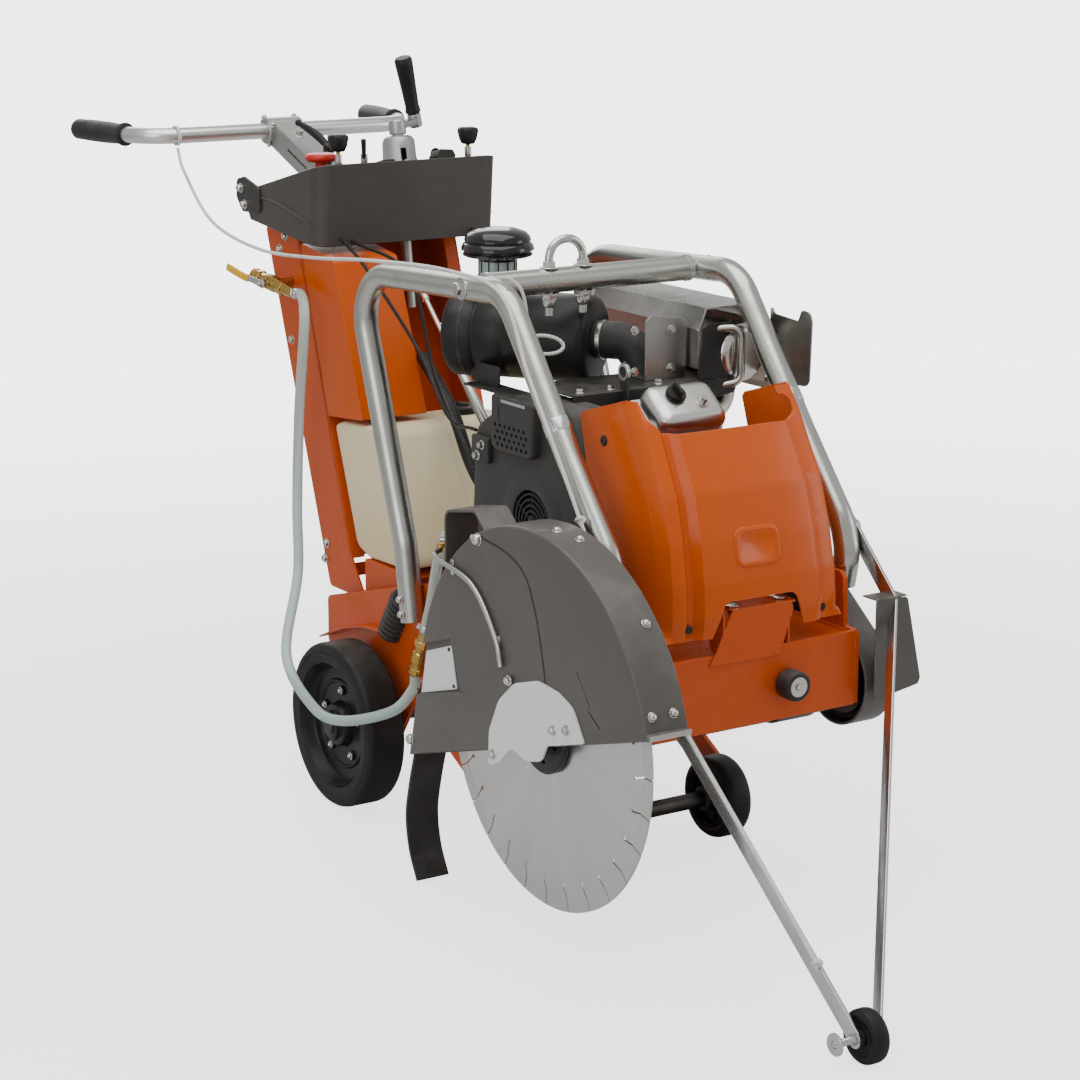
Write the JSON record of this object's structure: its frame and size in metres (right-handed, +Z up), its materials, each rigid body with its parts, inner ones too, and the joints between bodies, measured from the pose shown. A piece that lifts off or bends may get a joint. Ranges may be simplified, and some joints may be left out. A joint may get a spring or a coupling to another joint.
{
  "type": "walk-behind concrete saw",
  "caption": "Walk-behind floor saw with a petrol engine in a tube cage, a guarded diamond blade on the left side, a depth crank, a water feed and a fold-up pointer.",
  "frame": {"origin": "on the ground, in the middle of the whole machine seen from above, with the pointer let down", "axes": "+Z up, +Y towards the operator behind the machine, +X to the side away from the blade"},
  "size_m": [0.6703, 2.1479, 1.1627],
  "materials": {
    "orange_paint": "gloss",
    "dark_paint": "satin",
    "black_steel": "satin",
    "engine_castings": "satin",
    "zinc_steel": "satin",
    "perforated_steel": "satin",
    "muffler_steel": "satin",
    "blade_steel": "satin",
    "axle_steel": "satin",
    "grey_casting": "satin",
    "tyre_rubber": "matte",
    "soft_rubber": "matte",
    "black_plastic": "satin",
    "engine_plastic": "matte",
    "console_plastic": "satin",
    "cover_plastic": "gloss",
    "cream_plastic": "satin",
    "clear_hose": "gloss",
    "brass": "satin",
    "yellow_plastic": "gloss",
    "red_plastic": "gloss",
    "white_plate": "satin",
    "rope_fibre": "matte"
  },
  "bodies": {
    "root": {"main_frame": "orange_paint", "rear_axle": "axle_steel", "column": "orange_paint", "column_cover": "orange_paint", "fuel_tank": "cream_plastic", "near_cage_hoop": "zinc_steel", "far_cage_hoop": "zinc_steel", "cage_cross_tube": "zinc_steel", "lifting_eye": "zinc_steel", "engine_block": "engine_castings", "fan_shroud": "engine_plastic", "air_cleaner": "engine_plastic", "precleaner": "black_plastic", "intake_elbow": "soft_rubber", "muffler": "muffler_steel", "muffler_guard": "perforated_steel", "front_cover": "cover_plastic", "belt_guard": "dark_paint", "blade_shaft_housing": "black_steel", "drive_belt": "soft_rubber", "guard_rear_half": "dark_paint", "hub_cover_plate": "white_plate", "splash_flap": "soft_rubber", "console": "console_plastic", "crank_housing": "grey_casting", "water_valve": "brass", "supply_hose": "clear_hose", "hose_coupling": "brass", "guard_hose": "clear_hose", "guard_water_pipe": "zinc_steel", "rope_upper": "rope_fibre", "bumper": "soft_rubber", "lift_strut": "zinc_steel"},
    "blade_group": {"diamond_blade": "blade_steel", "blade_shaft": "axle_steel", "outer_flange": "dark_paint", "driven_pulley": "black_steel"},
    "engine_shaft": {"crankshaft": "axle_steel", "flywheel_fan": "black_steel"},
    "near_rear_wheel_body": {"near_rear_wheel": "tyre_rubber"},
    "far_rear_wheel_body": {"far_rear_wheel": "tyre_rubber"},
    "front_axle_body": {"front_axle_arm": "orange_paint"},
    "near_front_wheel_body": {"near_front_wheel": "tyre_rubber"},
    "far_front_wheel_body": {"far_front_wheel": "tyre_rubber"},
    "handlebar_body": {"handlebar": "zinc_steel", "handlebar_arm": "grey_casting", "near_grip": "soft_rubber", "far_grip": "soft_rubber"},
    "clamp_lever_body": {"clamp_lever": "black_plastic"},
    "depth_crank_body": {"depth_crank": "grey_casting"},
    "crank_grip_body": {"crank_grip": "black_plastic"},
    "throttle_knob_body": {"throttle_knob": "black_plastic"},
    "choke_knob_body": {"choke_knob": "black_plastic"},
    "stop_button_body": {"stop_button": "red_plastic"},
    "start_lever_body": {"start_lever": "black_plastic"},
    "valve_lever_body": {"valve_lever": "yellow_plastic"},
    "guard_front_body": {"guard_front_half": "dark_paint"},
    "pointer_body": {"pointer_frame": "zinc_steel", "rope_lower": "rope_fibre"},
    "pointer_wheel_body": {"pointer_wheel": "tyre_rubber"}
  },
  "joints": [
    {"name": "blade_spin", "type": "hinge", "parent": "root", "child": "blade_group", "pos_m": [0.0242, -0.4994, 0.3154], "axis": [1, 0, 0], "continuous": true},
    {"name": "engine_spin", "type": "hinge", "parent": "root", "child": "engine_shaft", "pos_m": [0.0242, -0.2049, 0.53], "axis": [1, 0, 0], "continuous": true},
    {"name": "near_rear_wheel_spin", "type": "hinge", "parent": "root", "child": "near_rear_wheel_body", "pos_m": [-0.2168, 0.2051, 0.1335], "axis": [1, 0, 0], "continuous": true},
    {"name": "far_rear_wheel_spin", "type": "hinge", "parent": "root", "child": "far_rear_wheel_body", "pos_m": [0.2652, 0.2051, 0.1335], "axis": [1, 0, 0], "continuous": true},
    {"name": "axle_swing", "type": "hinge", "parent": "root", "child": "front_axle_body", "pos_m": [0.0242, 0.0551, 0.225], "axis": [-1, 0, 0], "range_deg": [0, 28]},
    {"name": "near_front_wheel_spin", "type": "hinge", "parent": "front_axle_body", "child": "near_front_wheel_body", "pos_m": [-0.1402, -0.2464, 0.0645], "axis": [1, 0, 0], "continuous": true},
    {"name": "far_front_wheel_spin", "type": "hinge", "parent": "front_axle_body", "child": "far_front_wheel_body", "pos_m": [0.1886, -0.2464, 0.0645], "axis": [1, 0, 0], "continuous": true},
    {"name": "handlebar_slide", "type": "slide", "parent": "root", "child": "handlebar_body", "axis": [0, 0.9304, 0.3665], "range_m": [-0.055, 0.045]},
    {"name": "clamp_lever_turn", "type": "hinge", "parent": "handlebar_body", "child": "clamp_lever_body", "pos_m": [0.0242, 0.68529, 0.97597], "axis": [0, -0.3665, 0.9304], "range_deg": [-45, 45]},
    {"name": "depth_crank_turn", "type": "hinge", "parent": "root", "child": "depth_crank_body", "pos_m": [0.0762, 0.5231, 0.98047], "axis": [0, 0.1265, 0.992], "range_deg": [0, 2520]},
    {"name": "crank_grip_spin", "type": "hinge", "parent": "depth_crank_body", "child": "crank_grip_body", "pos_m": [0.1282, 0.56145, 1.04994], "axis": [-0.2617, -0.1047, 0.9595], "continuous": true},
    {"name": "throttle_knob_slide", "type": "slide", "parent": "root", "child": "throttle_knob_body", "axis": [0, 0, 1], "range_m": [0, 0.02]},
    {"name": "choke_knob_slide", "type": "slide", "parent": "root", "child": "choke_knob_body", "axis": [0, 0, 1], "range_m": [0, 0.02]},
    {"name": "stop_button_press", "type": "slide", "parent": "root", "child": "stop_button_body", "axis": [0, 0, -1], "range_m": [0, 0.004], "stiffness_N_per_m": 500},
    {"name": "start_lever_tilt", "type": "hinge", "parent": "root", "child": "start_lever_body", "pos_m": [-0.0308, 0.4551, 0.99104], "axis": [1, 0, 0], "range_deg": [-16, 16]},
    {"name": "valve_lever_turn", "type": "hinge", "parent": "root", "child": "valve_lever_body", "pos_m": [-0.16184, 0.53776, 0.79809], "axis": [-1, 0, 0], "range_deg": [0, 90]},
    {"name": "guard_front_lift", "type": "hinge", "parent": "root", "child": "guard_front_body", "pos_m": [0.0242, -0.3739, 0.582], "axis": [-1, 0, 0], "range_deg": [0, 95]},
    {"name": "pointer_flip", "type": "hinge", "parent": "root", "child": "pointer_body", "pos_m": [0.0242, -0.4799, 0.533], "axis": [-1, 0, 0], "range_deg": [0, 110]},
    {"name": "pointer_wheel_spin", "type": "hinge", "parent": "pointer_body", "child": "pointer_wheel_body", "pos_m": [-0.1618, -1.0379, 0.036], "axis": [1, 0, 0], "continuous": true}
  ],
  "couplings": [
    {"joint": "engine_spin", "follows": "blade_spin", "ratio": 0.91667},
    {"joint": "depth_crank_turn", "follows": "axle_swing", "ratio": 90}
  ]
}
